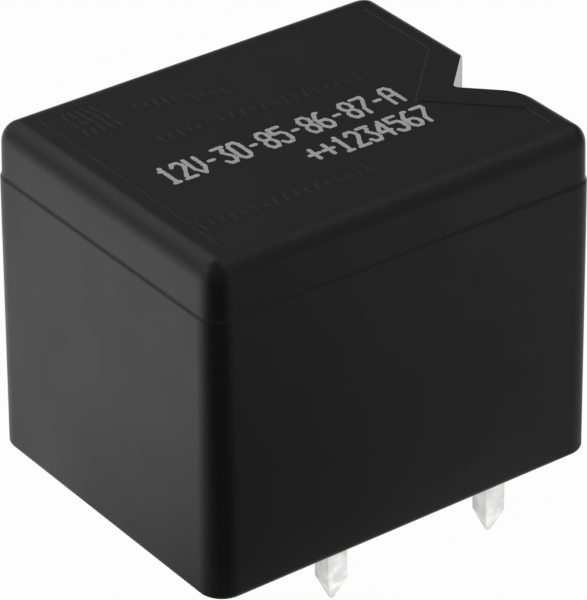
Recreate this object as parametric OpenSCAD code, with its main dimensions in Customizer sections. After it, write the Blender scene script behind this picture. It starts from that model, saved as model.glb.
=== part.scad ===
/* [Cover] */
// Length of the cover along X, at its rim
body_l = 28; // [27.6:0.1:28.6]
// Width of the cover along Y, at its rim
body_w = 22.6; // [22.4:0.1:23.2]
// Height of the cover
body_h = 22; // [21.8:0.1:23]
// Inward slope of each side wall from the rim to the step
draft = 0.16; // [0:0.02:0.2]
// Height of the step line
step_z = 18.6; // [17.5:0.1:19.5]
// How far the band above the step stands in
step_in = 0.1; // [0.05:0.01:0.15]
// Rounding of the top edge
top_r = 1.3; // [0.8:0.05:1.3]
// Rounding of the upright corners at the rim
corner_r = 1.6; // [1.6:0.05:2]
// Wall thickness at the rim
wall = 1.1; // [0.9:0.05:1.2]
// Depth of the sunk panel on the top
panel_d = 0.06; // [0.04:0.02:0.2]
// X of the notch's inner corner
notch_x = 10.1; // [10:0.05:10.6]
// Y of the notch's inner corner
notch_y = -2.1; // [-2.6:0.05:-2]
// Rounding where the notch meets the end face in front
notch_r = 1.3; // [1:0.1:2.4]

/* [Pins] */
// Side of each square pin
pin_s = 1.4; // [1.2:0.05:1.6]
// How far the pins stand out below the rim
pin_out = 5; // [3:0.25:8]
// Height of the pointed tip
tip_h = 1.5; // [0.8:0.1:2]
// Flat left at the end of the tip
tip_flat = 0.25; // [0.1:0.05:0.5]

/* [Drive] */
// Outer radius of the winding
coil_r = 5; // [4.5:0.1:5.1]
// Radius of the iron core
core_r = 2.55; // [2:0.05:2.55]
// Width of the yoke and the armature plate
iron_w = 10; // [8:0.5:11]
// Thickness of the armature plate
arm_t = 1.4; // [1.2:0.05:1.45]
// How far the armature stands open at rest, in degrees
open_deg = 3.5; // [2.5:0.1:3.5]

/* [Contacts] */
// Radius of the contact buttons
contact_r = 1.3; // [1:0.05:1.4]
// Thickness of the contact blade
blade_t = 0.3; // [0.2:0.02:0.3]
// Gap left where closed faces meet
touch = 0.03; // [0.02:0.005:0.05]

/* [Hidden] */
$fn = 64;

// corner centres of the cover's plan, and the profile of one corner
cor_x = body_l / 2 - corner_r;
cor_y = body_w / 2 - corner_r;
band_r = corner_r - draft - step_in;
in_x = body_l / 2 - wall;
in_y = body_w / 2 - wall;
ceil_z = body_h - 1.2;

// heights inside, from the rim up
resin_z = 0.3;
base_z = 1.3;
floor_z = 3.1;
yoke_t = 1.5;
flange_z = floor_z + yoke_t;
flange_t = 0.7;
top_flange_z = 13.6;
pole_z = top_flange_z + flange_t;
hinge = [7.4, 15.4];
arm_z = hinge[1] + touch;
blade_z = arm_z + arm_t;
tape_z = 6.9;
tape_h = 5;
button_t = 0.5;
contact_x = -9.3;

// where the moving contact's upper dome ends up when the armature stands open
dome_h = 0.25;
dome_foot = contact_r - 0.1;
dome_r = (dome_foot * dome_foot + dome_h * dome_h) / (2 * dome_h);
dome_c = blade_z + blade_t + button_t - dome_r - hinge[1];
nc_z = hinge[1] + (hinge[0] - contact_x) * sin(open_deg) + dome_c * cos(open_deg) + dome_r + touch;
no_z = blade_z - button_t - touch;
fixed_x = contact_x + 0.1;

pins_coil = [[-3.85, -8.75], [8.05, -8.75]];
pin_30 = [8.2, 8.9];
pin_87 = [-8.8, 8.9];
pin_87a = [-8.8, 0];
all_pins = [pins_coil[0], pins_coil[1], pin_30, pin_87, pin_87a];
post_s = 0.9;
post_z = 7.4;

// half section of a cover edge: out from the corner centre, then up
function edge_profile() = concat(
    [[0, 0], [corner_r, 0], [corner_r - draft, step_z], [band_r, step_z]],
    [for (i = [0 : 16]) [band_r - top_r + top_r * cos(i * 90 / 16),
                         body_h - top_r + top_r * sin(i * 90 / 16)]],
    [[0, body_h]]);

// the same section on both sides of a span
function span_profile(half) = concat(
    [for (p = edge_profile()) if (p[0] > 0) [half + p[0], p[1]]],
    [for (i = [len(edge_profile()) - 1 : -1 : 0])
        let (p = edge_profile()[i]) if (p[0] > 0) [-half - p[0], p[1]]]);

module rounded_block() {
    rotate([90, 0, 0]) linear_extrude(2 * cor_y, center = true) polygon(span_profile(cor_x));
    rotate([90, 0, 90]) linear_extrude(2 * cor_x, center = true) polygon(span_profile(cor_y));
    for (x = [-cor_x, cor_x], y = [-cor_y, cor_y])
        translate([x, y, 0]) rotate_extrude() polygon(edge_profile());
}

// the notch in plan, moved outward from its walls by d
module notch_plan(d) {
    ax = notch_x - d * sqrt(2);
    polygon([[ax, notch_y], [16, notch_y + 16 - ax], [16, notch_y - 16 + ax]]);
}

// the notch with its front corner rounded off
module notch_cut() {
    cx = body_l / 2 - notch_r;
    cy = notch_x + notch_y - cx - notch_r * sqrt(2);
    tx = cx + notch_r / sqrt(2);
    difference() {
        polygon([[notch_x, notch_y], [16, notch_y + 16 - notch_x], [16, cy], [cx, cy],
                 [tx, notch_x + notch_y - tx]]);
        translate([cx, cy]) circle(notch_r);
    }
}

// inside of the cover in plan, kept d away from its walls
module inside_plan(d) {
    r = 0.5;
    difference() {
        union() {
            square([2 * (in_x - d), 2 * (in_y - d - r)], center = true);
            square([2 * (in_x - d - r), 2 * (in_y - d)], center = true);
            for (x = [-1, 1], y = [-1, 1])
                translate([x * (in_x - d - r), y * (in_y - d - r)]) circle(r);
        }
        notch_plan(1 + d);
    }
}

module panel_plan() {
    px = notch_x - 2.73;
    py = notch_y;
    polygon([[-11.55, -8.9], [12, -8.9], [12, py - 12 + px], [px, py],
             [12, py + 12 - px], [12, 9.1], [-11.55, 9.1]]);
}

module cover() {
    color("dimgray")
    difference() {
        rounded_block();
        translate([0, 0, -1]) linear_extrude(body_h + 2) notch_cut();
        translate([0, 0, -1]) linear_extrude(ceil_z + 1) inside_plan(0);
        translate([0, 0, body_h - panel_d]) linear_extrude(1) panel_plan();
    }
}

module base_plate() {
    color("darkslategray")
    difference() {
        translate([0, 0, base_z]) linear_extrude(floor_z - base_z) inside_plan(0.05);
        for (p = all_pins) translate([p[0], p[1], 0]) cube([pin_s, pin_s, 20], center = true);
    }
}

module sealing_resin() {
    color("olive")
    difference() {
        translate([0, 0, resin_z]) linear_extrude(base_z - resin_z) inside_plan(0);
        for (p = all_pins) translate([p[0], p[1], 0]) cube([pin_s, pin_s, 20], center = true);
    }
}

// a square pin from its pointed tip up to height z
module pin(p, z) {
    h = pin_s / 2;
    side = [[-tip_flat / 2, -pin_out], [tip_flat / 2, -pin_out], [h, tip_h - pin_out], [h, z],
            [-h, z], [-h, tip_h - pin_out]];
    translate([p[0], p[1], 0]) intersection() {
        rotate([90, 0, 0]) linear_extrude(pin_s, center = true) polygon(side);
        rotate([90, 0, 90]) linear_extrude(pin_s, center = true) polygon(side);
    }
}

module coil_pin(p) {
    pin(p, floor_z);
    translate([p[0] - post_s / 2, p[1] - post_s / 2, floor_z - 0.5])
        cube([post_s, post_s, post_z - floor_z + 0.5]);
}

module terminal_85() {
    color("goldenrod") coil_pin(pins_coil[0]);
}

module terminal_86() {
    color("goldenrod") coil_pin(pins_coil[1]);
}

module terminal_30() {
    color("goldenrod") {
        pin(pin_30, 3.6);
        translate([hinge[0], 8.2, floor_z]) cube([0.6, 1.4, 4.9]);
        translate([hinge[0], 2.6, 5]) cube([0.6, 7, 3]);
    }
}

module terminal_87() {
    top = no_z - button_t;
    color("goldenrod") {
        pin(pin_87, 3.6);
        translate([-10.2, 8.6, floor_z]) cube([2.8, 0.6, top - floor_z]);
        difference() {
            translate([-10.6, -1.5, top - 0.6]) cube([2.8, 10.7, 0.6]);
            translate([fixed_x, 0, top - 1]) cylinder(h = 2, r = 0.6);
        }
    }
}

module terminal_87a() {
    top = nc_z + button_t;
    color("goldenrod") {
        pin(pin_87a, 3.7);
        translate([-12.2, -1.5, floor_z]) cube([4.15, 3, 0.6]);
        translate([-12.2, -1.5, floor_z]) cube([0.6, 3, top + 0.6 - floor_z]);
        difference() {
            translate([-12.2, -1.5, top]) cube([4.5, 3, 0.6]);
            translate([fixed_x, 0, top - 1]) cylinder(h = 2, r = 0.6);
        }
    }
}

module no_contact() {
    color("silver") translate([fixed_x, 0, no_z - button_t]) {
        cylinder(h = button_t, r = contact_r);
        translate([0, 0, -0.75]) cylinder(h = 1, r = 0.6);
    }
}

module nc_contact() {
    color("silver") translate([fixed_x, 0, nc_z]) {
        cylinder(h = button_t, r = contact_r);
        translate([0, 0, 0.25]) cylinder(h = 1, r = 0.6);
    }
}

module bobbin() {
    color("ivory") difference() {
        union() {
            translate([-5.6, -5.5, flange_z]) cube([11.4, 11, flange_t]);
            translate([-5.6, -10, flange_z]) cube([15, 4.4, flange_t]);
            translate([-5.6, -5.7, flange_z]) cube([11.4, 0.4, flange_t]);
            translate([-5.6, -5.5, top_flange_z]) cube([11.4, 11, flange_t]);
            translate([0, 0, flange_z]) cylinder(h = pole_z - flange_z, r = core_r + 0.55);
        }
        translate([0, 0, 1]) cylinder(h = 20, r = core_r + 0.05);
        for (p = pins_coil) translate([p[0], p[1], 5]) cube([post_s, post_s, 5], center = true);
    }
}

module tube(z, h, r_out, r_in) {
    translate([0, 0, z]) difference() {
        cylinder(h = h, r = r_out);
        translate([0, 0, -1]) cylinder(h = h + 2, r = r_in);
    }
}

module coil_winding() {
    color("chocolate")
        tube(flange_z + flange_t, top_flange_z - flange_z - flange_t, coil_r, core_r + 0.55);
}

module coil_tape() {
    color("khaki")
        tube(tape_z, tape_h, coil_r + 0.1, coil_r);
}

module iron_core() {
    color("lightsteelblue") {
        translate([0, 0, floor_z]) cylinder(h = 5, r = 1.6);
        translate([0, 0, flange_z]) cylinder(h = pole_z - flange_z + 0.5, r = core_r);
        translate([0, 0, pole_z]) cylinder(h = hinge[1] - pole_z, r = 4.2);
    }
}

module yoke() {
    color("slategray") difference() {
        union() {
            translate([-5.5, -iron_w / 2, floor_z]) cube([hinge[0] + 5.5, iron_w, yoke_t]);
            translate([hinge[0] - yoke_t, -iron_w / 2, floor_z])
                cube([yoke_t, iron_w, hinge[1] - floor_z]);
        }
        cylinder(h = 10, r = 1.6);
    }
}

module yoke_rivets() {
    color("silver") for (y = [-1.8, 1.8]) translate([hinge[0], y, 10]) rotate([0, 90, 0]) {
        cylinder(h = 0.4, r = 0.5);
        translate([0, 0, 0.2]) cylinder(h = 0.35, r = 0.8);
    }
}

// turns what is drawn for the closed armature to where it rests, open
module at_rest() {
    translate([hinge[0], 0, hinge[1]]) rotate([0, open_deg, 0])
        translate([-hinge[0], 0, -hinge[1]]) children();
}

module armature() {
    w = iron_w / 2;
    color("steelblue") at_rest() translate([0, 0, arm_z]) difference() {
        linear_extrude(arm_t) polygon([[-5.2, -w + 1.5], [-3.7, -w], [hinge[0], -w],
                                       [hinge[0], w], [-3.7, w], [-5.2, w - 1.5]]);
        for (p = stakes) translate([p[0], p[1], -1]) cylinder(h = 4, r = 0.5);
    }
}

stakes = [[-1.6, -1.3], [-1.6, 1.3], [5, -1.8], [5, 1.8]];

module armature_rivets() {
    color("silver") at_rest() for (p = stakes) {
        t = p[0] > 0 ? 0.2 : blade_t;
        translate([p[0], p[1], arm_z]) cylinder(h = arm_t + t + 0.1, r = 0.5);
        translate([p[0], p[1], blade_z + t]) cylinder(h = 0.3, r = 0.8);
    }
}

module contact_blade() {
    color("peru") at_rest() translate([0, 0, blade_z]) difference() {
        linear_extrude(blade_t) union() {
            polygon([[2.2, -2.5], [2.2, 2.5], [-4, 2.5], [contact_x + 1, 1.6],
                     [contact_x + 1, -1.6], [-4, -2.5]]);
            translate([contact_x, -1.6]) square([1.5, 3.2]);
            translate([contact_x, 0]) circle(1.6);
        }
        translate([contact_x, 0, -1]) cylinder(h = 3, r = 0.7);
        for (p = stakes) translate([p[0], p[1], -1]) cylinder(h = 3, r = 0.5);
    }
}

// one domed side of the moving contact, standing on z = 0
module button() {
    cylinder(h = button_t - dome_h, r = contact_r);
    translate([0, 0, button_t - dome_r]) intersection() {
        sphere(dome_r);
        translate([0, 0, dome_r - dome_h - 0.05]) cylinder(h = 1, r = dome_foot);
    }
}

module moving_contact() {
    color("silver") at_rest() translate([contact_x, 0, blade_z]) {
        translate([0, 0, blade_t]) button();
        mirror([0, 0, 1]) button();
        translate([0, 0, -0.1]) cylinder(h = blade_t + 0.2, r = 0.7);
    }
}

// where a point of the closed armature lies at rest
function rested(p) = let (x = p[0] - hinge[0], z = p[1] - hinge[1])
    [hinge[0] + x * cos(open_deg) + z * sin(open_deg),
     hinge[1] - x * sin(open_deg) + z * cos(open_deg)];

// middle line of the leaf: up the yoke, out round the hinge, down onto the armature
leaf_z = blade_z + 0.1;
leaf_way = [[7.5, 7.4], [7.5, 8.6], [7.5, 12.8], [7.75, 14], [8.2, 15.2], [8.35, 16.2],
            [8.05, 17.1], [7.35, 17.55], rested([6.5, leaf_z + 0.28]), rested([5.9, leaf_z]),
            rested([3.2, leaf_z]), rested([2.8, leaf_z])];

function smooth(a, b, c, d, t) = (2 * b + (c - a) * t + (2 * a - 5 * b + 4 * c - d) * t * t
                                  + (3 * b - a - 3 * c + d) * t * t * t) / 2;

function leaf_line() = let (w = leaf_way, n = len(w)) concat(
    [for (i = [1 : n - 3]) let (m = i == 1 || i == n - 3 ? 1 : 6) for (k = [0 : m - 1])
        i == 1 || i == n - 3 ? w[i] : smooth(w[i - 1], w[i], w[i + 1], w[i + 2], k / m)],
    [w[n - 2]]);

// the line's points pushed sideways by s
function beside(l, s) = [for (i = [0 : len(l) - 1])
    let (a = l[max(i - 1, 0)], b = l[min(i + 1, len(l) - 1)], d = b - a, u = d / norm(d))
        l[i] + s * [u[1], -u[0]]];

module return_spring() {
    l = leaf_line();
    back = beside(l, -0.1);
    color("darkgoldenrod") difference() {
        rotate([90, 0, 0]) linear_extrude(6, center = true)
            polygon(concat(beside(l, 0.1), [for (i = [len(l) - 1 : -1 : 0]) back[i]]));
        for (y = [-1.8, 1.8]) {
            translate([hinge[0] - 1, y, 10]) rotate([0, 90, 0]) cylinder(h = 3, r = 0.5);
            at_rest() translate([5, y, blade_z - 1]) cylinder(h = 3, r = 0.5);
        }
    }
}

// a straight wire from a to b
module wire(a, b) {
    d = b - a;
    translate(a) rotate([0, acos(d[2] / norm(d)), atan2(d[1], d[0])]) cylinder(h = norm(d), r = 0.1);
}

module coil_leads() {
    color("orangered") for (p = pins_coil) {
        for (k = [0 : 2]) translate([p[0], p[1], 5.6 + 0.22 * k])
            rotate_extrude() translate([0.78, 0]) circle(0.1);
        s = p[0] < 0 ? -1 : 1;
        wire([p[0] - s * 0.9, p[1] + 0.1, 6.04], [p[0] < 0 ? -2.6 : 2.9, -4.6, 6.4]);
    }
}

module solder_joints() {
    color("silver") difference() {
        for (p = pins_coil) translate([p[0], p[1], post_z - 0.1]) intersection() {
            sphere(0.85);
            cube([2, 2, 1], center = true);
        }
        for (p = pins_coil) translate([p[0], p[1], 5]) cube([post_s, post_s, 2 * post_z - 10],
                                                           center = true);
    }
}

cover();
base_plate();
sealing_resin();
bobbin();
coil_winding();
coil_tape();
iron_core();
yoke();
yoke_rivets();
return_spring();
armature();
armature_rivets();
contact_blade();
moving_contact();
no_contact();
nc_contact();
terminal_30();
terminal_87();
terminal_87a();
terminal_85();
terminal_86();
coil_leads();
solder_joints();
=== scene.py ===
import math
import bmesh
import bpy
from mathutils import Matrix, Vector


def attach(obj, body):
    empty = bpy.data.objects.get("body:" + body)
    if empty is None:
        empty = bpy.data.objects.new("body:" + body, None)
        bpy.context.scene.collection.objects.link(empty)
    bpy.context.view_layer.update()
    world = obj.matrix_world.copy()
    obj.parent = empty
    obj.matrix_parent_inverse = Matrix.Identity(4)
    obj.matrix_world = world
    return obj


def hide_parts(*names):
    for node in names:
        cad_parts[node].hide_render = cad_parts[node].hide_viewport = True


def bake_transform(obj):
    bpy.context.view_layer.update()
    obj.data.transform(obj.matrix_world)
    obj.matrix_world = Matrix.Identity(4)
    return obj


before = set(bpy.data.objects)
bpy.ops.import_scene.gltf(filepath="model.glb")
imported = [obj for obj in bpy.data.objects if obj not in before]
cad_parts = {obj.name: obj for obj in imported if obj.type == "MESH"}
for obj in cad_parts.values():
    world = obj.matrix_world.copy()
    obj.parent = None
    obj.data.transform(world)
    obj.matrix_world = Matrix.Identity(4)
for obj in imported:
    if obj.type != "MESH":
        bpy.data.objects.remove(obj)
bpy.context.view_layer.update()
mm = 0.001
print("frame loaded")

# the camera comes first; the relay stands on its pins
camera = {
    "place": (-134.7, -183.2, 147.3),
    "turn": (58.873, 0.339, -36.522),
    "lens": 267.9,
}
eye = bpy.data.cameras.new("camera")
eye.lens = camera["lens"]
eye.clip_start = 0.01
eye.clip_end = 20.0
eyeObject = bpy.data.objects.new("camera", eye)
eyeObject.location = [v * mm for v in camera["place"]]
eyeObject.rotation_euler = [math.radians(v) for v in camera["turn"]]
bpy.context.scene.collection.objects.link(eyeObject)
bpy.context.scene.camera = eyeObject


def addNode(tree, kind, **values):
    node = tree.nodes.new(kind)
    for key, value in values.items():
        setattr(node, key, value)
    return node


def easeBetween(tree, source, span, values):
    # a soft change from one value to another over a span of the source
    ease = addNode(tree, "ShaderNodeMapRange", interpolation_type="SMOOTHSTEP")
    for label, value in zip(("From Min", "From Max", "To Min", "To Max"), (*span, *values)):
        ease.inputs[label].default_value = value
    tree.links.new(source, ease.inputs["Value"])
    return ease.outputs["Result"]


def startGroup(name, inputs, outputs):
    group = bpy.data.node_groups.new(name, "ShaderNodeTree")
    for label, kind, value in inputs:
        socket = group.interface.new_socket(name=label, in_out="INPUT", socket_type=kind)
        if value is not None:
            socket.default_value = value
    for label, kind in outputs:
        group.interface.new_socket(name=label, in_out="OUTPUT", socket_type=kind)
    return group, addNode(group, "NodeGroupInput"), addNode(group, "NodeGroupOutput")


number, vector, colour = "NodeSocketFloat", "NodeSocketVector", "NodeSocketColor"


def makeCloudGroup():
    # soft patches between a low and a high value
    group, start, end = startGroup(
        "softPatches",
        [("Vector", vector, None), ("Scale", number, 300.0), ("Low", number, 0.3), ("High", number, 0.5)],
        [("Value", number)])
    noise = addNode(group, "ShaderNodeTexNoise")
    noise.inputs["Detail"].default_value = 3.0
    ramp = addNode(group, "ShaderNodeMapRange")
    ramp.inputs["From Min"].default_value = 0.3
    ramp.inputs["From Max"].default_value = 0.7
    group.links.new(start.outputs["Vector"], noise.inputs["Vector"])
    group.links.new(start.outputs["Scale"], noise.inputs["Scale"])
    group.links.new(noise.outputs["Fac"], ramp.inputs["Value"])
    group.links.new(start.outputs["Low"], ramp.inputs["To Min"])
    group.links.new(start.outputs["High"], ramp.inputs["To Max"])
    group.links.new(ramp.outputs["Result"], end.inputs["Value"])
    return group


def makeGrainGroup():
    # moulded or cast grain: a fine layer over a coarse one
    group, start, end = startGroup(
        "surfaceGrain",
        [("Vector", vector, None), ("Fine", number, 9000.0), ("Coarse", number, 900.0),
         ("Coarse Share", number, 0.4)],
        [("Height", number)])
    fine = addNode(group, "ShaderNodeTexNoise")
    fine.inputs["Detail"].default_value = 2.0
    coarse = addNode(group, "ShaderNodeTexNoise")
    coarse.inputs["Detail"].default_value = 1.0
    mix = addNode(group, "ShaderNodeMix", data_type="FLOAT")
    for noise, label in ((fine, "Fine"), (coarse, "Coarse")):
        group.links.new(start.outputs["Vector"], noise.inputs["Vector"])
        group.links.new(start.outputs[label], noise.inputs["Scale"])
    group.links.new(start.outputs["Coarse Share"], mix.inputs["Factor"])
    group.links.new(fine.outputs["Fac"], mix.inputs["A"])
    group.links.new(coarse.outputs["Fac"], mix.inputs["B"])
    group.links.new(mix.outputs["Result"], end.inputs["Height"])
    return group


def makeLineGroup():
    # drawn or rolled lines: noise stretched along one axis
    group, start, end = startGroup(
        "drawnLines",
        [("Vector", vector, None), ("Stretch", vector, (1.0, 1.0, 0.05)), ("Scale", number, 9000.0)],
        [("Mask", number)])
    scale = addNode(group, "ShaderNodeVectorMath", operation="MULTIPLY")
    noise = addNode(group, "ShaderNodeTexNoise")
    noise.inputs["Detail"].default_value = 2.0
    group.links.new(start.outputs["Vector"], scale.inputs[0])
    group.links.new(start.outputs["Stretch"], scale.inputs[1])
    group.links.new(scale.outputs["Vector"], noise.inputs["Vector"])
    group.links.new(start.outputs["Scale"], noise.inputs["Scale"])
    group.links.new(noise.outputs["Fac"], end.inputs["Mask"])
    return group


softPatches = makeCloudGroup()
surfaceGrain = makeGrainGroup()
drawnLines = makeLineGroup()


def useGroup(tree, group, point, **values):
    node = addNode(tree, "ShaderNodeGroup", node_tree=group)
    tree.links.new(point, node.inputs["Vector"])
    for label, value in values.items():
        node.inputs[label.replace("_", " ")].default_value = value
    return node


def startMaterial(name):
    material = bpy.data.materials.new(name)
    material.use_nodes = True
    tree = material.node_tree
    shader = tree.nodes["Principled BSDF"]
    point = addNode(tree, "ShaderNodeTexCoord").outputs["Object"]
    return material, tree, shader, point


def tint(tree, mask, low, high, target):
    blend = addNode(tree, "ShaderNodeMix", data_type="RGBA")
    tree.links.new(mask, blend.inputs["Factor"])
    blend.inputs["A"].default_value = (*low, 1.0)
    blend.inputs["B"].default_value = (*high, 1.0)
    tree.links.new(blend.outputs["Result"], target)


def bump(tree, shader, height, depth, strength):
    node = addNode(tree, "ShaderNodeBump")
    node.inputs["Distance"].default_value = depth * mm
    node.inputs["Strength"].default_value = strength
    tree.links.new(height, node.inputs["Height"])
    tree.links.new(node.outputs["Normal"], shader.inputs["Normal"])


plasticMottle, metalMottle = 2.3, 1.7  # how much finer the colour varies than the roughness


def makePlastic(name, low, high, rough, patch=260.0, fine=9000.0, coarse=1100.0, share=0.35,
                depth=0.012, strength=0.25, coat=0.0):
    material, tree, shader, point = startMaterial(name)
    shader.inputs["Coat Weight"].default_value = coat
    mottle = useGroup(tree, softPatches, point, Scale=patch * plasticMottle, Low=0.0, High=1.0)
    tint(tree, mottle.outputs["Value"], low, high, shader.inputs["Base Color"])
    haze = useGroup(tree, softPatches, point, Scale=patch, Low=rough[0], High=rough[1])
    tree.links.new(haze.outputs["Value"], shader.inputs["Roughness"])
    grain = useGroup(tree, surfaceGrain, point, Fine=fine, Coarse=coarse, Coarse_Share=share)
    bump(tree, shader, grain.outputs["Height"], depth, strength)
    return material


def makeMetal(name, low, high, rough, stretch=(1.0, 1.0, 0.06), lines=9000.0, metallic=1.0,
              patch=500.0, depth=0.004, strength=0.25):
    material, tree, shader, point = startMaterial(name)
    shader.inputs["Metallic"].default_value = metallic
    line = useGroup(tree, drawnLines, point, Stretch=stretch, Scale=lines)
    mottle = useGroup(tree, softPatches, point, Scale=patch * metalMottle, Low=0.0, High=1.0)
    tint(tree, mottle.outputs["Value"], low, high, shader.inputs["Base Color"])
    haze = useGroup(tree, softPatches, point, Scale=patch, Low=rough[0], High=rough[1])
    tree.links.new(haze.outputs["Value"], shader.inputs["Roughness"])
    bump(tree, shader, line.outputs["Mask"], depth, strength)
    return material


coverPlastic = makePlastic("coverPlastic", (0.0100, 0.0100, 0.0106), (0.0125, 0.0124, 0.0128),
                           (0.36, 0.44), patch=180.0)
basePlastic = makePlastic("basePlastic", (0.012, 0.012, 0.013), (0.017, 0.017, 0.018), (0.5, 0.6))
pottingResin = makePlastic("pottingResin", (0.016, 0.014, 0.012), (0.03, 0.027, 0.022), (0.1, 0.22),
                           fine=2500.0, coarse=500.0, share=0.7, depth=0.03, strength=0.3, coat=0.3)
bobbinPlastic = makePlastic("bobbinPlastic", (0.50, 0.46, 0.36), (0.58, 0.54, 0.44), (0.42, 0.55),
                            fine=7000.0)
filmTape = makePlastic("filmTape", (0.62, 0.36, 0.06), (0.70, 0.44, 0.10), (0.16, 0.28),
                       depth=0.01, coat=0.4)
printInk = makePlastic("printInk", (0.84, 0.84, 0.85), (0.93, 0.93, 0.94), (0.55, 0.65), fine=12000.0)
coilWire = makeMetal("coilWire", (0.42, 0.10, 0.035), (0.56, 0.17, 0.06), (0.22, 0.34),
                     stretch=(0.2, 0.2, 1.0))
platedIron = makeMetal("platedIron", (0.42, 0.41, 0.39), (0.52, 0.51, 0.48), (0.3, 0.42),
                       stretch=(0.08, 1.0, 1.0), lines=5000.0)
rivetSteel = makeMetal("rivetSteel", (0.5, 0.49, 0.47), (0.6, 0.59, 0.57), (0.28, 0.4),
                       stretch=(1.0, 1.0, 1.0), lines=4000.0)
springAlloy = makeMetal("springAlloy", (0.60, 0.33, 0.17), (0.72, 0.43, 0.24), (0.24, 0.36),
                        stretch=(0.06, 1.0, 0.3))
contactSilver = makeMetal("contactSilver", (0.70, 0.69, 0.66), (0.82, 0.81, 0.78), (0.22, 0.36),
                          stretch=(1.0, 1.0, 1.0), lines=3000.0)
tinnedPins = makeMetal("tinnedPins", (0.66, 0.66, 0.65), (0.92, 0.92, 0.91), (0.26, 0.5),
                       metallic=0.75, lines=3000.0, patch=900.0, depth=0.012, strength=0.5)
dullSolder = makeMetal("dullSolder", (0.58, 0.58, 0.57), (0.7, 0.7, 0.69), (0.2, 0.36),
                       stretch=(1.0, 1.0, 1.0), lines=1500.0)
print("materials made")


edgeWork = {
    "sharp": 32,  # degrees above which an edge of a moulded or cut piece stays sharp
    "sharpRound": 40,  # the same for a piece with rounded edges
    "roundAbove": 35,  # degrees above which an edge is rounded
    "flat": 1.0,
    "gap": 0.0005,
    "cadGap": 0.001,
}


def addToScene(name, data):
    item = bpy.data.objects.new(name, data)
    bpy.context.scene.collection.objects.link(item)
    return item


def shadeSmooth(mesh, degrees):
    for face in mesh.polygons:
        face.use_smooth = True
    mesh.set_sharp_from_angle(angle=math.radians(degrees))


def makePiece(name, points, faces, material, sharp=edgeWork["sharp"]):
    mesh = bpy.data.meshes.new(name)
    mesh.from_pydata([[c * mm for c in p] for p in points], [], faces)
    mesh.materials.append(material)
    shadeSmooth(mesh, sharp)
    mesh.update()
    return addToScene(name, mesh)


def bridge(rings, closeStart=False, closeEnd=False):
    # quads between rings of the same number of points, with caps where asked
    points = [p for ring in rings for p in ring]
    n = len(rings[0])
    faces = []
    for r in range(len(rings) - 1):
        for i in range(n):
            j = (i + 1) % n
            faces.append((r * n + i, r * n + j, (r + 1) * n + j, (r + 1) * n + i))
    if closeStart:
        faces.append(tuple(range(n - 1, -1, -1)))
    if closeEnd:
        faces.append(tuple(range((len(rings) - 1) * n, len(rings) * n)))
    return points, faces


def joinParts(parts):
    points, faces = [], []
    for somePoints, someFaces in parts:
        base = len(points)
        points += somePoints
        faces += [tuple(i + base for i in face) for face in someFaces]
    return points, faces


def settle(piece, body, slotName, *nodes):
    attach(piece, body)
    if nodes:
        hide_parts(*nodes)


def repaint(node, material):
    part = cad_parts[node]
    if not part.material_slots:
        part.data.materials.append(material)
    for slot in part.material_slots:
        slot.material = material


def cleanMesh(mesh, gap=edgeWork["gap"], flat=None):
    # merges double points, and flat faces where asked, and turns every face outward
    work = bmesh.new()
    work.from_mesh(mesh)
    bmesh.ops.remove_doubles(work, verts=work.verts, dist=gap * mm)
    if flat:
        bmesh.ops.dissolve_limit(work, angle_limit=math.radians(flat), verts=work.verts, edges=work.edges)
    bmesh.ops.recalc_face_normals(work, faces=work.faces)
    work.to_mesh(mesh)
    work.free()


def applyModifiers(piece):
    name = piece.data.name
    evaluated = piece.evaluated_get(bpy.context.evaluated_depsgraph_get())
    final = bpy.data.meshes.new_from_object(evaluated)
    piece.modifiers.clear()
    piece.data = final
    final.name = name


def softened(node, body, slotName, material, width=0.05, steps=2):
    # a copy of a plain CAD solid with its edges slightly rounded
    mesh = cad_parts[node].data.copy()
    mesh.name = node + "Finished"
    cleanMesh(mesh, edgeWork["cadGap"], edgeWork["flat"])
    mesh.materials.clear()
    mesh.materials.append(material)
    piece = addToScene(mesh.name, mesh)
    rounding = piece.modifiers.new("edges", "BEVEL")
    rounding.width = width * mm
    rounding.segments = steps
    rounding.limit_method = "ANGLE"
    rounding.angle_limit = math.radians(edgeWork["roundAbove"])
    rounding.use_clamp_overlap = True
    applyModifiers(piece)
    shadeSmooth(piece.data, edgeWork["sharpRound"])
    settle(piece, body, slotName, node)


shell = {
    "halfLength": 14.0,
    "halfWidth": 11.3,
    "cornerRadius": 1.6,
    "height": 22.0,
    "draft": 0.16,
    "stepHeight": 18.6,
    "stepIn": 0.1,
    "stepRise": 0.32,
    "topRadius": 1.3,
    "endRadius": 1.08,
    "bandLean": 0.06,
    "innerLength": 12.9,
    "innerWidth": 10.2,
    "innerCorner": 0.5,
    "innerNotch": 0.3,
    "wall": 1.0,
    "mouth": 0.06,
    "lip": [(0.0, 0.14), (0.03, 0.05), (0.12, 0.0)],
    "footHeight": 0.3,
    "stepSteps": 8,
    "stepBelow": 0.7,
    "stepAbove": 0.2,
    "roundBelow": 0.15,
    "roundSteps": 24,
    "topIn": 0.1,
    "tiny": 0.01,
    "ceiling": 20.8,
    "panelDepth": 0.05,
    "arcSteps": 10,
}
notch = {"x": 10.15, "y": -2.15, "frontRadius": 1.3, "apexRadius": 0.3, "farRadius": 0.2}
panel = {"left": -11.55, "right": 12.0, "front": -8.9, "back": 9.1, "inset": 1.966, "shift": 0.05,
         "corner": 0.2, "softLip": 0.06, "crispLip": 0.03, "ridge": 0.035, "ridgeFade": 0.3, "lead": 0.05,
         "lipSpread": 1.4, "lipSteps": 8}


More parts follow.
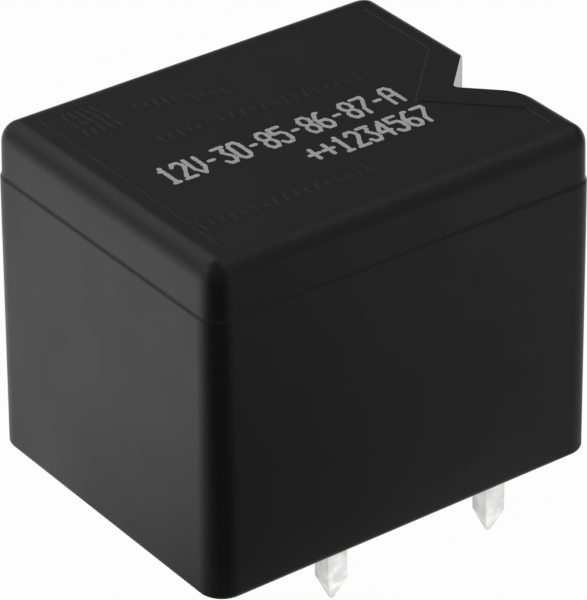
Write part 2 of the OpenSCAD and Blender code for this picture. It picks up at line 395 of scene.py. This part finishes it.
def arcPoints(cx, cy, radius, start, end, steps, lead=0.12, radiusY=None):
    # an arc with one more point just before and just after it, so that flat sides stay flat
    points = []
    turn = 1 if end > start else -1
    for k in range(steps + 1):
        a = math.radians(start + (end - start) * k / steps)
        points.append((cx + radius * math.cos(a), cy + (radiusY or radius) * math.sin(a)))
    a0, a1 = math.radians(start), math.radians(end)
    points.insert(0, (points[0][0] + turn * lead * math.sin(a0), points[0][1] - turn * lead * math.cos(a0)))
    points.append((points[-1][0] - turn * lead * math.sin(a1), points[-1][1] + turn * lead * math.cos(a1)))
    return points


def bodyOutline(xl, xr, yf, yb, corner, wallIn, nearRadius, apexRadius, farRadius, lead=0.12,
                endCorner=None, shift=0.0):
    # plan of the body with its notch: wallIn moves the notch walls into the body, shift moves them along y
    steps = shell["arcSteps"]
    endCorner = endCorner or corner
    apexX, apexY = notch["x"] - wallIn * math.sqrt(2), notch["y"] + shift
    nearSum, farDiff = apexX + apexY, apexX - apexY
    points = arcPoints(xl + corner, yf + corner, corner, 180, 270, steps, lead)
    points += arcPoints(xr - endCorner, yf + corner, endCorner, 270, 360, steps, lead, corner)
    cx = xr - nearRadius
    points += arcPoints(cx, nearSum - cx - nearRadius * math.sqrt(2), nearRadius, 0, 45, 8, lead)
    points += arcPoints(apexX + apexRadius * math.sqrt(2), apexY, apexRadius, 225, 135, 6, lead)
    cx = xr - farRadius
    points += arcPoints(cx, cx - farDiff + farRadius * math.sqrt(2), farRadius, -45, 0, 4, lead)
    points += arcPoints(xr - endCorner, yb - corner, endCorner, 0, 90, steps, lead, corner)
    points += arcPoints(xl + corner, yb - corner, corner, 90, 180, steps, lead)
    return points


def outerRing(z, inset, endInset=None):
    # endInset is how far the notched end stands in, where it differs from the other sides
    s = shell
    endInset = inset if endInset is None else endInset
    plan = bodyOutline(-s["halfLength"] + inset, s["halfLength"] - endInset, -s["halfWidth"] + inset,
                       s["halfWidth"] - inset, max(s["cornerRadius"] - inset, 0.02), 0.0,
                       notch["frontRadius"], notch["apexRadius"], notch["farRadius"],
                       endCorner=max(s["cornerRadius"] - endInset, 0.02))
    return [(x, y, z) for x, y in plan]


def panelRing(z, soft, crisp, ridge=0.0):
    # the left and back sides and the notch's far side stand out by soft, the other sides by crisp
    p = panel
    plan = bodyOutline(p["left"] - soft, p["right"] + crisp, p["front"] - crisp, p["back"] + soft,
                       p["corner"], p["inset"] - (soft + crisp) / 2, p["corner"], p["corner"], p["corner"],
                       p["lead"], shift=p["shift"] + (crisp - soft) * math.sqrt(0.5))
    fade = p["ridgeFade"]
    return [(x, y, z + ridge * min(1.0, max(0.0, (p["left"] + fade - x) / fade))) for x, y in plan]


def cavityRing(z, inset=0.0):
    # inset is how far a filling stands off the walls
    s = shell
    plan = bodyOutline(-s["innerLength"] + inset, s["innerLength"] - inset, -s["innerWidth"] + inset,
                       s["innerWidth"] - inset, s["innerCorner"], s["wall"] + inset, s["innerCorner"],
                       s["innerNotch"], s["innerNotch"])
    return [(x, y, z) for x, y in plan]


def makeCover():
    s = shell
    slope = s["draft"] / s["stepHeight"]
    band = s["draft"] + s["stepIn"]
    rings = [cavityRing(z) for z in (s["ceiling"], s["mouth"], 0.0)]
    rings += [outerRing(z, inset) for z, inset in s["lip"]]
    rings.append(outerRing(s["footHeight"], s["footHeight"] * slope))
    z = s["stepHeight"]
    rings.append(outerRing(z - s["footHeight"], s["draft"] - s["footHeight"] * slope))
    for k in range(s["stepSteps"] + 1):  # the soft step, then the band that stands in
        t = k / s["stepSteps"]
        rings.append(outerRing(z + s["stepRise"] * (t - s["stepBelow"]),
                               s["draft"] + (s["stepIn"] + s["tiny"]) * (1 - math.cos(t * math.pi)) / 2))
    rings.append(outerRing(z + s["stepAbove"], band + s["tiny"]))
    top = s["height"] - s["topRadius"]
    leaned = band + s["bandLean"]
    rings.append(outerRing(top - s["roundBelow"], leaned - s["tiny"]))
    for k in range(s["roundSteps"] + 1):  # the rounding up to the top, a smaller one on the notched end
        a = k / s["roundSteps"] * math.pi / 2
        rise = s["topRadius"] * math.sin(a)
        side = s["topRadius"] * (1 - math.cos(a))
        over = max(0.0, rise - s["topRadius"] + s["endRadius"])
        end = s["endRadius"] - math.sqrt(max(0.0, s["endRadius"] ** 2 - over ** 2))
        rings.append(outerRing(top + rise, leaned + side, leaned + end))
    inner = leaned + s["topIn"]
    rings.append(outerRing(s["height"], inner + s["topRadius"], inner + s["endRadius"]))
    soft, crisp, spread = panel["softLip"], panel["crispLip"], panel["lipSpread"]
    rings.append(panelRing(s["height"], soft * spread, crisp * spread))
    for k in range(panel["lipSteps"] + 1):  # the small step down to the panel
        t = k / panel["lipSteps"]
        rings.append(panelRing(s["height"] - s["panelDepth"] * (1 - math.cos(t * math.pi)) / 2,
                               soft * (1 - 2 * t), crisp * (1 - 2 * t),
                               panel["ridge"] * math.sin(t * math.pi)))
    rings.append(panelRing(s["height"] - s["panelDepth"], -soft * spread, -crisp * spread))
    points, faces = bridge(rings, True, True)
    piece = makePiece("coverShell", points, faces, coverPlastic)
    cleanMesh(piece.data)
    piece.data.set_sharp_from_angle(angle=math.radians(edgeWork["sharp"]))
    settle(piece, "housing", "cover_plastic", "cover")


makeCover()
print("cover made")

# what is printed and moulded on the panel

marks = {
    "dotRadius": 0.145,
    "dotHeight": 0.03,
    "dotSides": 12,
    "smallest": 0.85,
    "largest": 1.12,
    "sunk": 0.3,
    "seed": 7,
    "columns": 5,
    "rows": 7,
    "letterShare": 0.68,
    "lines": [
        {"text": "12V-30-85-86-87-A", "start": (-9.65, -0.68), "end": (7.27, -0.74), "height": 1.88},
        {"text": "++1234567", "start": (-1.5, -3.69), "end": (7.47, -3.69), "height": 1.78},
    ],
}
dotGlyphs = {
    "0": "01110100011000110001100011000101110",
    "1": "00100011000010000100001000010001110",
    "2": "01110100010000100010001000100011111",
    "3": "11111000100010000010000011000101110",
    "4": "00010001100101010010111110001000010",
    "5": "11111100001111000001000011000101110",
    "6": "00110010001000011110100011000101110",
    "7": "11111000010001000100010000100001000",
    "8": "01110100011000101110100011000101110",
    "9": "01110100011000101111000010001001100",
    "A": "01110100011000111111100011000110001",
    "V": "10001100011000110001100010101000100",
    "-": "00000000000000001110000000000000000",
    "+": "00000001000010011111001000010000000",
}


def dotPlaces(line):
    # a grid of dots to a character, with one more dot between neighbours where the ink has run
    (x0, y0), (x1, y1) = line["start"], line["end"]
    pitch = (x1 - x0) / len(line["text"])
    across = marks["columns"]
    column, row = pitch * marks["letterShare"] / (across - 1), line["height"] / (marks["rows"] - 1)
    places = []
    for n, letter in enumerate(line["text"]):
        on = {(k % across, k // across) for k, dot in enumerate(dotGlyphs[letter]) if dot == "1"}
        spots = set(on)
        for c, r in on:
            for dc, dr in ((1, 0), (0, 1), (1, 1), (-1, 1)):
                straight = dc == 0 or dr == 0 or ((c + dc, r) not in on and (c, r + dr) not in on)
                if (c + dc, r + dr) in on and straight:
                    spots.add((c + dc / 2, r + dr / 2))
        for c, r in sorted(spots):
            places.append((x0 + n * pitch + c * column,
                           y0 + (y1 - y0) * n / len(line["text"]) + line["height"] / 2 - r * row))
    return places


def geometryTree(name, inputs):
    tree = bpy.data.node_groups.new(name, "GeometryNodeTree")
    tree.interface.new_socket(name="Geometry", in_out="INPUT", socket_type="NodeSocketGeometry")
    for label, kind, value in inputs:
        socket = tree.interface.new_socket(name=label, in_out="INPUT", socket_type=kind)
        if value is not None:
            socket.default_value = value
    tree.interface.new_socket(name="Geometry", in_out="OUTPUT", socket_type="NodeSocketGeometry")
    return tree, addNode(tree, "NodeGroupInput"), addNode(tree, "NodeGroupOutput")


def finishTree(tree, start, end, geometry):
    realize = addNode(tree, "GeometryNodeRealizeInstances")
    paint = addNode(tree, "GeometryNodeSetMaterial")
    tree.links.new(geometry, realize.inputs["Geometry"])
    tree.links.new(realize.outputs["Geometry"], paint.inputs["Geometry"])
    tree.links.new(start.outputs["Material"], paint.inputs["Material"])
    tree.links.new(paint.outputs["Geometry"], end.inputs["Geometry"])


def runTree(name, tree, points, values, sharp=None):
    # points feed the tree, and its result becomes a plain mesh
    mesh = bpy.data.meshes.new(name)
    mesh.from_pydata([[c * mm for c in p] for p in points], [], [])
    piece = addToScene(name, mesh)
    modifier = piece.modifiers.new(name, "NODES")
    modifier.node_group = tree
    sockets = {i.name: i.identifier for i in tree.interface.items_tree if i.in_out == "INPUT"}
    for label, value in values.items():
        modifier[sockets[label]] = value
    applyModifiers(piece)
    if sharp:
        shadeSmooth(piece.data, sharp)
    return piece


def makeDotTree():
    tree, start, end = geometryTree("printedDots", [
        ("Radius", number, 0.0001), ("Height", number, 0.00002), ("Sides", "NodeSocketInt", 12),
        ("Smallest", number, 0.9), ("Largest", number, 1.1), ("Seed", "NodeSocketInt", 7),
        ("Material", "NodeSocketMaterial", None)])
    disc = addNode(tree, "GeometryNodeMeshCylinder", fill_type="NGON")
    spread = addNode(tree, "FunctionNodeRandomValue", data_type="FLOAT")
    scatter = addNode(tree, "GeometryNodeInstanceOnPoints")
    tree.links.new(start.outputs["Radius"], disc.inputs["Radius"])
    tree.links.new(start.outputs["Height"], disc.inputs["Depth"])
    tree.links.new(start.outputs["Sides"], disc.inputs["Vertices"])
    tree.links.new(start.outputs["Smallest"], spread.inputs[2])
    tree.links.new(start.outputs["Largest"], spread.inputs[3])
    tree.links.new(start.outputs["Seed"], spread.inputs["Seed"])
    tree.links.new(start.outputs["Geometry"], scatter.inputs["Points"])
    tree.links.new(disc.outputs["Mesh"], scatter.inputs["Instance"])
    tree.links.new(spread.outputs[1], scatter.inputs["Scale"])
    finishTree(tree, start, end, scatter.outputs["Instances"])
    return tree


relief = {
    "radius": 0.2,
    "height": 0.018,
    "sunk": 0.4,
    "sides": 20,
    "taper": 0.72,
    "turn": 0.35,
    "short": 2.2,
    "long": 4.0,
    "seed": 3,
    "sharp": 60,
    "rows": [
        {"from": (-10.1, 8.5), "to": (-8.1, 8.4), "count": 5},
        {"from": (-10.1, 7.4), "to": (-7.9, 7.3), "count": 5},
        {"from": (-10.1, 6.3), "to": (-7.9, 6.2), "count": 5},
        {"from": (-5.9, 7.2), "to": (-3.6, 6.6), "count": 5},
        {"from": (-2.6, 6.1), "to": (-0.7, 5.6), "count": 4},
        {"from": (-7.0, 3.1), "to": (-4.4, 3.0), "count": 5},
        {"from": (-2.8, 3.0), "to": (7.2, 2.1), "count": 15},
        {"from": (-11.0, -6.5), "to": (0.4, -6.9), "count": 17},
    ],
}


def makeMouldTree():
    # low rounded bars, some long and some short
    tree, start, end = geometryTree("mouldedBars", [
        ("Radius", number, 0.0002), ("Height", number, 0.00003),
        ("Short", number, 1.0), ("Long", number, 2.0),
        ("Seed", "NodeSocketInt", 3), ("Material", "NodeSocketMaterial", None)])
    bar = addNode(tree, "GeometryNodeMeshCone", fill_type="NGON")
    bar.inputs["Vertices"].default_value = relief["sides"]
    top = addNode(tree, "ShaderNodeMath", operation="MULTIPLY")
    top.inputs[1].default_value = relief["taper"]
    stretch = addNode(tree, "FunctionNodeRandomValue", data_type="FLOAT")
    size = addNode(tree, "ShaderNodeCombineXYZ")
    size.inputs["X"].default_value = 1.0
    size.inputs["Z"].default_value = 1.0
    turn = addNode(tree, "FunctionNodeRandomValue", data_type="FLOAT_VECTOR")
    turn.inputs[0].default_value = (0.0, 0.0, -relief["turn"])
    turn.inputs[1].default_value = (0.0, 0.0, relief["turn"])
    scatter = addNode(tree, "GeometryNodeInstanceOnPoints")
    tree.links.new(start.outputs["Radius"], bar.inputs["Radius Bottom"])
    tree.links.new(start.outputs["Radius"], top.inputs[0])
    tree.links.new(top.outputs["Value"], bar.inputs["Radius Top"])
    tree.links.new(start.outputs["Height"], bar.inputs["Depth"])
    tree.links.new(start.outputs["Short"], stretch.inputs[2])
    tree.links.new(start.outputs["Long"], stretch.inputs[3])
    tree.links.new(start.outputs["Seed"], stretch.inputs["Seed"])
    tree.links.new(start.outputs["Seed"], turn.inputs["Seed"])
    tree.links.new(stretch.outputs[1], size.inputs["Y"])
    tree.links.new(start.outputs["Geometry"], scatter.inputs["Points"])
    tree.links.new(bar.outputs["Mesh"], scatter.inputs["Instance"])
    tree.links.new(turn.outputs["Value"], scatter.inputs["Rotation"])
    tree.links.new(size.outputs["Vector"], scatter.inputs["Scale"])
    finishTree(tree, start, end, scatter.outputs["Instances"])
    return tree


panelZ = shell["height"] - shell["panelDepth"]
spots = []
for row in relief["rows"]:
    (x0, y0), (x1, y1) = row["from"], row["to"]
    for k in range(row["count"]):
        t = k / (row["count"] - 1)
        spots.append((x0 + (x1 - x0) * t, y0 + (y1 - y0) * t,
                      panelZ + relief["height"] * relief["sunk"]))
bars = runTree("mouldedBars", makeMouldTree(), spots,
               {"Radius": relief["radius"] * mm, "Height": relief["height"] * mm,
                "Short": relief["short"], "Long": relief["long"], "Seed": relief["seed"],
                "Material": coverPlastic}, sharp=relief["sharp"])
settle(bars, "housing", "cover_plastic")
places = [(x, y, panelZ + marks["dotHeight"] * marks["sunk"])
          for line in marks["lines"] for x, y in dotPlaces(line)]
dots = runTree("printedDots", makeDotTree(), places,
               {"Radius": marks["dotRadius"] * mm, "Height": marks["dotHeight"] * mm,
                "Sides": marks["dotSides"], "Smallest": marks["smallest"], "Largest": marks["largest"],
                "Seed": marks["seed"], "Material": printInk})
settle(dots, "housing", None)
print("marks made")

# pins, resin and what is inside
for node in ("terminal_30", "terminal_87", "terminal_87a", "terminal_85", "terminal_86"):
    softened(node, "housing", "tinned_pins", tinnedPins, 0.06)
softened("base_plate", "housing", "base_plastic", basePlastic, 0.08)
softened("bobbin", "housing", "bobbin_plastic", bobbinPlastic, 0.06)
softened("yoke", "housing", "iron", platedIron, 0.1)
softened("iron_core", "housing", "iron", platedIron, 0.12)
softened("yoke_rivets", "housing", "rivet_steel", rivetSteel, 0.1, 3)
softened("solder_joints", "housing", "solder", dullSolder, 0.08, 3)
for node in ("no_contact", "nc_contact"):
    softened(node, "housing", "contact_silver", contactSilver, 0.1)
softened("armature", "armature_set", "iron", platedIron, 0.08)
softened("armature_rivets", "armature_set", "rivet_steel", rivetSteel, 0.1, 3)
softened("contact_blade", "armature_set", "spring_alloy", springAlloy, 0.03)
repaint("moving_contact", contactSilver)

resin = {
    "top": 1.3,
    "skin": [(0.02, 0.04), (0.12, 0.15), (0.3, 0.23), (0.6, 0.28), (1.0, 0.3)],
    "standOff": 0.02,
    "collar": {"wide": 1.35, "narrow": 0.86, "low": 0.1, "high": 0.33, "sides": 40, "sharp": 50},
    "pins": [(-3.85, -8.75), (8.05, -8.75), (8.2, 8.9), (-8.8, 8.9), (-8.8, 0.0)],
}


def makeResin():
    # the poured skin creeps up the walls of the cover
    rings = [cavityRing(z, inset) for inset, z in [(resin["standOff"], resin["top"]), *resin["skin"]]]
    piece = makePiece("resinSkin", *bridge(rings, True, True), pottingResin)
    cleanMesh(piece.data)
    settle(piece, "housing", "resin", "sealing_resin")


def makeCollarTree():
    # a skirt of resin round each pin
    tree, start, end = geometryTree("resinCollars", [
        ("Wide", number, 0.001), ("Narrow", number, 0.001), ("Tall", number, 0.0002),
        ("Material", "NodeSocketMaterial", None)])
    skirt = addNode(tree, "GeometryNodeMeshCone", fill_type="NGON")
    skirt.inputs["Vertices"].default_value = resin["collar"]["sides"]
    scatter = addNode(tree, "GeometryNodeInstanceOnPoints")
    tree.links.new(start.outputs["Narrow"], skirt.inputs["Radius Bottom"])
    tree.links.new(start.outputs["Wide"], skirt.inputs["Radius Top"])
    tree.links.new(start.outputs["Tall"], skirt.inputs["Depth"])
    tree.links.new(start.outputs["Geometry"], scatter.inputs["Points"])
    tree.links.new(skirt.outputs["Mesh"], scatter.inputs["Instance"])
    finishTree(tree, start, end, scatter.outputs["Instances"])
    return tree


makeResin()
collar = resin["collar"]
collars = runTree("resinCollars", makeCollarTree(), [(x, y, collar["low"]) for x, y in resin["pins"]],
                  {"Wide": collar["wide"] * mm, "Narrow": collar["narrow"] * mm,
                   "Tall": (collar["high"] - collar["low"]) * mm, "Material": pottingResin},
                  sharp=collar["sharp"])
settle(collars, "housing", "resin")

coil = {
    "low": 5.31,
    "high": 13.59,
    "inner": 3.12,
    "outer": 5.0,
    "wire": 0.11,
    "turns": 36,
    "turnSides": 80,
    "wireSides": 8,
    "tapeLow": 6.92,
    "tapeHigh": 11.88,
    "tapeThick": 0.045,
    "tapeOff": 0.005,
    "tapeGap": 0.004,
    "tapeStart": -1.2,
    "tapeSteps": 96,
    "tapeOver": 7,
    "bodySteps": 72,
    "bodyIn": 0.9,
}


def makeWindingBody():
    # what lies below the outermost turns
    c = coil
    outer = c["outer"] - c["wire"] * c["bodyIn"]
    section = [(c["inner"], c["low"]), (outer, c["low"]), (outer, c["high"]), (c["inner"], c["high"])]
    count = c["bodySteps"]
    points = [(r * math.cos(math.tau * k / count), r * math.sin(math.tau * k / count), z)
              for k in range(count) for r, z in section]
    faces = [(k * 4 + i, k * 4 + (i + 1) % 4, (k + 1) % count * 4 + (i + 1) % 4, (k + 1) % count * 4 + i)
             for k in range(count) for i in range(4)]
    piece = makePiece("windingBody", points, faces, coilWire)
    cleanMesh(piece.data)
    settle(piece, "housing", "winding", "coil_winding")


def makeTurnTree():
    tree, start, end = geometryTree("windingTurns", [
        ("Radius", number, 0.005), ("Wire", number, 0.0001), ("Material", "NodeSocketMaterial", None)])
    path = addNode(tree, "GeometryNodeCurvePrimitiveCircle")
    path.inputs["Resolution"].default_value = coil["turnSides"]
    section = addNode(tree, "GeometryNodeCurvePrimitiveCircle")
    section.inputs["Resolution"].default_value = coil["wireSides"]
    turn = addNode(tree, "GeometryNodeCurveToMesh")
    smooth = addNode(tree, "GeometryNodeSetShadeSmooth")
    scatter = addNode(tree, "GeometryNodeInstanceOnPoints")
    tree.links.new(start.outputs["Radius"], path.inputs["Radius"])
    tree.links.new(start.outputs["Wire"], section.inputs["Radius"])
    tree.links.new(path.outputs["Curve"], turn.inputs["Curve"])
    tree.links.new(section.outputs["Curve"], turn.inputs["Profile Curve"])
    tree.links.new(turn.outputs["Mesh"], smooth.inputs["Geometry"])
    tree.links.new(start.outputs["Geometry"], scatter.inputs["Points"])
    tree.links.new(smooth.outputs["Geometry"], scatter.inputs["Instance"])
    finishTree(tree, start, end, scatter.outputs["Instances"])
    return tree


def makeTape():
    # one wrap of film whose end lies over its start
    c = coil
    count, thick, rings = c["tapeSteps"], c["tapeThick"] - c["tapeGap"], []
    section = [(0, c["tapeLow"]), (thick, c["tapeLow"]), (thick, c["tapeHigh"]), (0, c["tapeHigh"])]
    for k in range(count + c["tapeOver"]):
        a = math.tau * k / count + c["tapeStart"]
        r = c["outer"] + c["tapeOff"] + c["tapeThick"] * k / count
        rings.append([((r + d) * math.cos(a), (r + d) * math.sin(a), z) for d, z in section])
    piece = makePiece("filmWrap", *bridge(rings, True, True), filmTape)
    cleanMesh(piece.data)
    settle(piece, "housing", "tape", "coil_tape")


makeWindingBody()
step = (coil["high"] - coil["low"] - 2 * coil["wire"]) / (coil["turns"] - 1)
turns = runTree("windingTurns", makeTurnTree(),
                [(0, 0, coil["low"] + coil["wire"] + k * step) for k in range(coil["turns"])],
                {"Radius": (coil["outer"] - coil["wire"]) * mm, "Wire": coil["wire"] * mm,
                 "Material": coilWire})
cleanMesh(turns.data)
settle(turns, "housing", "winding")
makeTape()


def sweep(path, radius, sides=10):
    # a round wire along a path
    rings, side = [], None
    for k, point in enumerate(path):
        ahead = (Vector(path[min(k + 1, len(path) - 1)]) - Vector(path[max(k - 1, 0)])).normalized()
        if side is None:
            side = ahead.orthogonal().normalized()
        side = (side - ahead * side.dot(ahead)).normalized()
        up = ahead.cross(side)
        rings.append([tuple(Vector(point) + radius * (math.cos(math.tau * i / sides) * side
                                                      + math.sin(math.tau * i / sides) * up))
                      for i in range(sides)])
    return bridge(rings, True, True)


leads = {"wire": 0.1, "wrap": 0.76, "low": 5.55, "pitch": 0.22, "turns": 3, "height": 6.4, "sag": 0.12,
         "turnSteps": 20, "runSteps": 12, "sharp": 60,
         "ends": [((-3.85, -8.75), (-2.35, -4.45), 1), ((8.05, -8.75), (2.6, -4.25), -1)]}


def makeLeads():
    # each lead winds round its post and runs back to the coil
    parts = []
    for (px, py), (ex, ey), way in leads["ends"]:
        w = leads["wrap"]
        leave = math.atan2(ey - py, ex - px) - way * math.pi / 2
        path = []
        steps = leads["turnSteps"]
        for k in range(leads["turns"] * steps + 1):
            a = leave - way * math.tau * (leads["turns"] * steps - k) / steps
            path.append((px + w * math.cos(a), py + w * math.sin(a),
                         leads["low"] + leads["pitch"] * k / steps))
        x0, y0, z0 = path[-1]
        for k in range(1, leads["runSteps"] + 1):
            t = k / leads["runSteps"]
            sag = leads["sag"] * math.sin(math.pi * t)
            path.append((x0 + (ex - x0) * t, y0 + (ey - y0) * t, z0 + (leads["height"] - z0) * t - sag))
        parts.append(sweep(path, leads["wire"]))
    piece = makePiece("coilLeads", *joinParts(parts), coilWire, leads["sharp"])
    cleanMesh(piece.data)
    settle(piece, "housing", "winding", "coil_leads")


makeLeads()

leaf = {
    "hinge": (7.4, 15.4),
    "open": 3.5,
    "thick": 0.2,
    "width": 6.0,
    "edge": 0.05,
    "steps": 8,
    "yokePart": [(7.5, 7.4), (7.5, 8.6), (7.5, 12.8), (7.75, 14.0), (8.2, 15.2), (8.35, 16.2), (8.05, 17.1),
                 (7.35, 17.55)],
    "armPart": [(6.5, 17.21), (5.9, 16.93), (3.2, 16.93), (2.8, 16.93)],
    "bendFrom": (7.6, 13.5),
    "bendTo": (6.9, 17.3),
}


def atRest(x, z):
    # where a point of the closed armature lies with the armature open
    hx, hz = leaf["hinge"]
    a = math.radians(leaf["open"])
    return (hx + (x - hx) * math.cos(a) + (z - hz) * math.sin(a),
            hz - (x - hx) * math.sin(a) + (z - hz) * math.cos(a))


def makeLeaf():
    way = leaf["yokePart"] + [atRest(x, z) for x, z in leaf["armPart"]]
    line = [way[1]]
    for i in range(1, len(way) - 2):
        a, b, c, d = (Vector(way[i + k]) for k in (-1, 0, 1, 2))
        count = 1 if i in (1, len(way) - 3) else leaf["steps"]
        for k in range(1, count + 1):
            t = k / count
            line.append(tuple((2 * b + (c - a) * t + (2 * a - 5 * b + 4 * c - d) * t * t
                               + (3 * b - a - 3 * c + d) * t * t * t) / 2))
    half, wide, e = leaf["thick"] / 2, leaf["width"] / 2, leaf["edge"]
    section = [(half - e, wide), (half, wide - e), (half, -wide + e), (half - e, -wide),
               (-half + e, -wide), (-half, -wide + e), (-half, wide - e), (-half + e, wide)]
    rings = []
    for k, (x, z) in enumerate(line):
        ahead = (Vector(line[min(k + 1, len(line) - 1)]) - Vector(line[max(k - 1, 0)])).normalized()
        rings.append([(x + s * ahead.y, y, z - s * ahead.x) for s, y in section])
    piece = makePiece("returnLeaf", *bridge(rings, True, True), springAlloy)
    cleanMesh(piece.data)
    piece.data.set_sharp_from_angle(angle=math.radians(edgeWork["sharp"]))
    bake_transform(piece)
    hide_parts("return_spring")


makeLeaf()
print("inside made")

studio = {
    "floorZ": -5.0,
    "floorSize": 3000.0,
    "seen": 0.98,
    "frontLow": (-22.0, 0.06),
    "frontHigh": (40.0, 0.38),
    "backFrom": -22.0,
    "backTo": 22.0,
    "backGlow": 0.92,
    "patches": [
        {"left": (-16.0, -12.5), "right": (13.0, 17.0), "front": (-15.0, -12.0), "back": (20.0, 30.0),
         "glow": 0.8},
        {"left": (-14.0, -10.0), "right": (13.0, 17.0), "front": (-15.0, -12.5), "back": (-10.5, -8.0),
         "glow": 1.35},
        {"left": (22.0, 30.0), "right": (70.0, 90.0), "front": (2.0, 12.0), "back": (90.0, 120.0),
         "glow": 2.2},
    ],
    "sky": 0.185,
    "skyGlow": 0.62,
    "skyWay": (-0.65, 0.65, -0.35),
    "skySpan": (0.2, 1.0),
    "aim": (0, 0, 10),
    "softboxes": {
        "softboxLeft": {"place": (-300, 120, 260), "size": 220, "power": 0.1},
        "softboxBack": {"place": (-30, 300, 320), "size": 340, "power": 0.25},
        "softboxRight": {"place": (220, 20, 370), "size": 300, "power": 0.1},
        "softboxFront": {"place": (220, -190, 310), "size": 300, "power": 0.045},
        "softboxLow": {"place": (210, -320, 150), "size": 260, "power": 0.03},
    },
}


def makeFloor():
    s = studio
    half = s["floorSize"] / 2
    mesh = bpy.data.meshes.new("floor")
    z = s["floorZ"] * mm
    mesh.from_pydata([(x * half * mm, y * half * mm, z) for x, y in ((-1, -1), (1, -1), (1, 1), (-1, 1))],
                     [], [(0, 1, 2, 3)])
    floor = addToScene("floor", mesh)
    material = bpy.data.materials.new("paleFloor")
    material.use_nodes = True
    tree = material.node_tree
    tree.nodes.clear()
    out = addNode(tree, "ShaderNodeOutputMaterial")
    point = addNode(tree, "ShaderNodeTexCoord")
    split = addNode(tree, "ShaderNodeSeparateXYZ")
    tree.links.new(point.outputs["Object"], split.inputs["Vector"])
    # the light that the floor gives back: bright behind, dim in front, a little less dim to the right
    (low, lowGlow), (high, highGlow) = s["frontLow"], s["frontHigh"]
    front = easeBetween(tree, split.outputs["X"], (low * mm, high * mm), (lowGlow, highGlow))
    back = easeBetween(tree, split.outputs["Y"], (s["backFrom"] * mm, s["backTo"] * mm), (0.0, 1.0))
    ramp = addNode(tree, "ShaderNodeMix", data_type="FLOAT")
    tree.links.new(back, ramp.inputs["Factor"])
    tree.links.new(front, ramp.inputs["A"])
    ramp.inputs["B"].default_value = s["backGlow"]
    # brighter patches: two right below the relay, for its pins, and one behind on the right, for the notch
    glow = ramp.outputs["Result"]
    for patch in s["patches"]:
        mask = None
        for side, axis, values in (("left", "X", (0.0, 1.0)), ("right", "X", (1.0, 0.0)),
                                   ("front", "Y", (0.0, 1.0)), ("back", "Y", (1.0, 0.0))):
            edge = easeBetween(tree, split.outputs[axis], [v * mm for v in patch[side]], values)
            if mask is None:
                mask = edge
                continue
            both = addNode(tree, "ShaderNodeMath", operation="MULTIPLY")
            tree.links.new(mask, both.inputs[0])
            tree.links.new(edge, both.inputs[1])
            mask = both.outputs["Value"]
        over = addNode(tree, "ShaderNodeMix", data_type="FLOAT")
        tree.links.new(mask, over.inputs["Factor"])
        tree.links.new(glow, over.inputs["A"])
        over.inputs["B"].default_value = patch["glow"]
        glow = over.outputs["Result"]
    given = addNode(tree, "ShaderNodeEmission")
    tree.links.new(glow, given.inputs["Strength"])
    seen = addNode(tree, "ShaderNodeEmission")
    seen.inputs["Strength"].default_value = s["seen"]
    path = addNode(tree, "ShaderNodeLightPath")
    mix = addNode(tree, "ShaderNodeMixShader")
    tree.links.new(path.outputs["Is Camera Ray"], mix.inputs["Fac"])
    tree.links.new(given.outputs["Emission"], mix.inputs[1])
    tree.links.new(seen.outputs["Emission"], mix.inputs[2])
    tree.links.new(mix.outputs["Shader"], out.inputs["Surface"])
    mesh.materials.append(material)


def makeSky():
    world = bpy.data.worlds.new("studioAir")
    bpy.context.scene.world = world
    world.use_nodes = True
    tree = world.node_tree
    tree.nodes.clear()
    out = addNode(tree, "ShaderNodeOutputWorld")
    path = addNode(tree, "ShaderNodeLightPath")
    air = addNode(tree, "ShaderNodeBackground")
    # a brighter band low behind on the left
    way = addNode(tree, "ShaderNodeTexCoord")
    lean = addNode(tree, "ShaderNodeVectorMath", operation="DOT_PRODUCT")
    lean.inputs[1].default_value = studio["skyWay"]
    tree.links.new(way.outputs["Generated"], lean.inputs[0])
    ease = easeBetween(tree, lean.outputs["Value"], studio["skySpan"], (studio["sky"], studio["skyGlow"]))
    tree.links.new(ease, air.inputs["Strength"])
    seen = addNode(tree, "ShaderNodeBackground")
    seen.inputs["Color"].default_value = (*[studio["seen"]] * 3, 1.0)
    mix = addNode(tree, "ShaderNodeMixShader")
    tree.links.new(path.outputs["Is Camera Ray"], mix.inputs["Fac"])
    tree.links.new(air.outputs["Background"], mix.inputs[1])
    tree.links.new(seen.outputs["Background"], mix.inputs[2])
    tree.links.new(mix.outputs["Shader"], out.inputs["Surface"])


def makeLamp(name, place, size, power):
    lamp = bpy.data.lights.new(name, "AREA")
    lamp.shape = "SQUARE"
    lamp.size = size * mm
    lamp.energy = power
    softbox = addToScene(name, lamp)
    softbox.location = [v * mm for v in place]
    aim = Vector(studio["aim"]) - Vector(place)
    softbox.rotation_euler = aim.to_track_quat("-Z", "Y").to_euler()


makeFloor()
makeSky()
for name, softbox in studio["softboxes"].items():
    makeLamp(name, **softbox)
bpy.context.scene.view_settings.view_transform = "Standard"
print("studio made")
